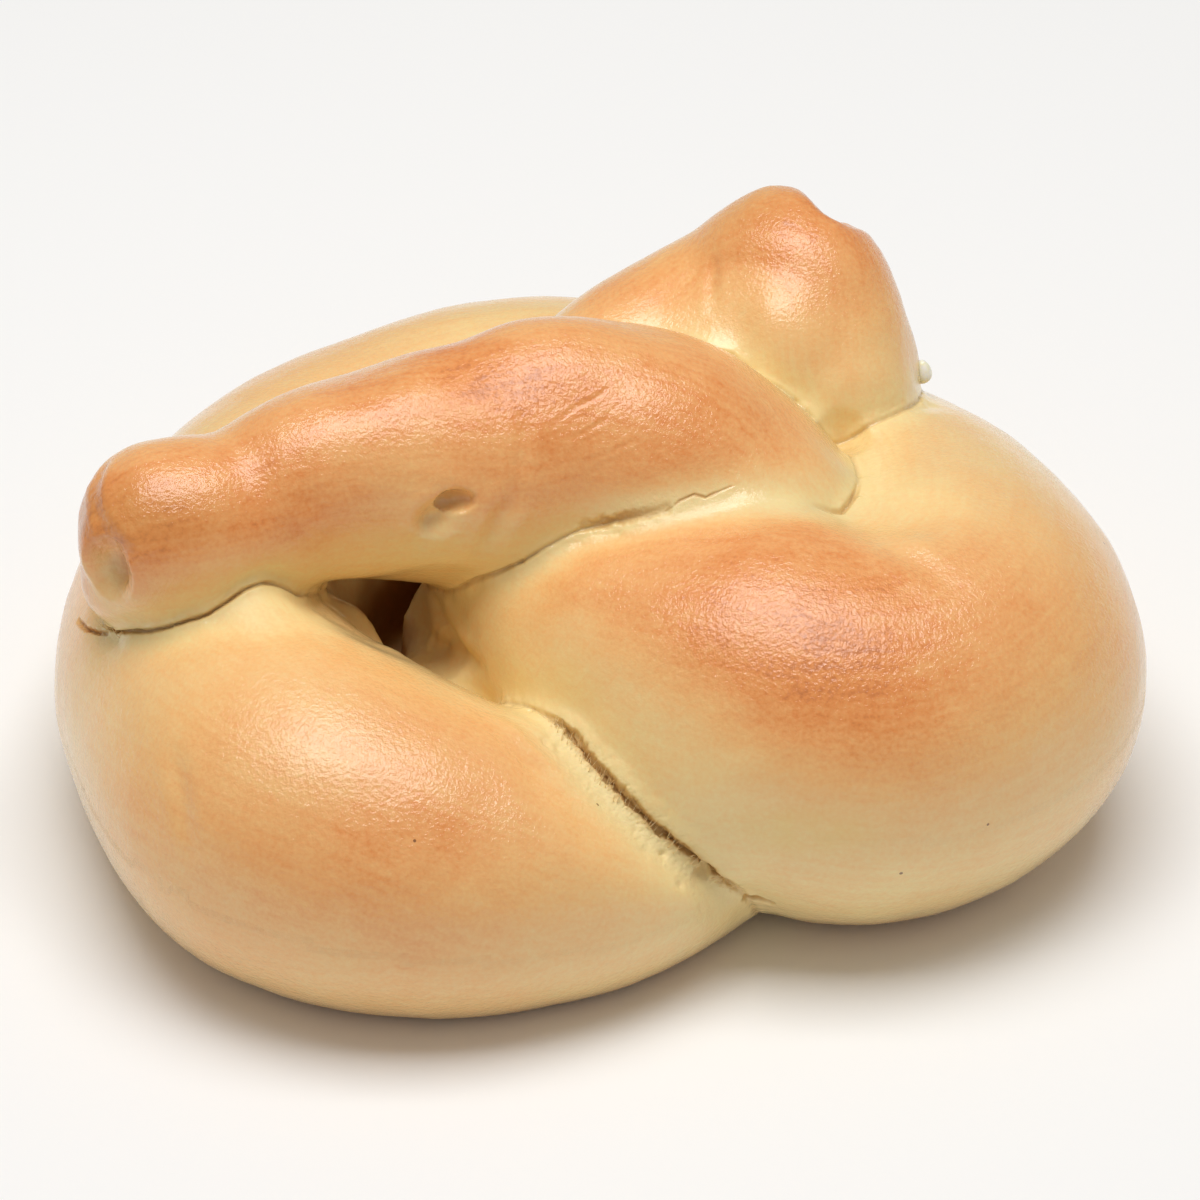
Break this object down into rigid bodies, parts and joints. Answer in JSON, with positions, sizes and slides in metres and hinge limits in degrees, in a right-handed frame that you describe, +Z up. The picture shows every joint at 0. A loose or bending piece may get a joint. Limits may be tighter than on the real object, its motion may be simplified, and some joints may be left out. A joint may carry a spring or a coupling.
{
  "type": "brioche knot",
  "caption": "Egg-washed brioche roll: a rope of enriched dough tied in a loose figure-of-eight knot and baked in one piece, flat underneath.",
  "frame": {"origin": "centre of the knot's outline at the plane it rests on", "axes": "+X from the tucked tip's side to the large right lobe, +Y from the front lobe to the standing knob, +Z up from the tray"},
  "size_m": [0.1138, 0.1024, 0.0531],
  "materials": {
    "brioche_knot": "egg-washed golden crust, soft sheen"
  },
  "bodies": {
    "root": {"brioche_knot": "brioche_knot"}
  },
  "joints": []
}
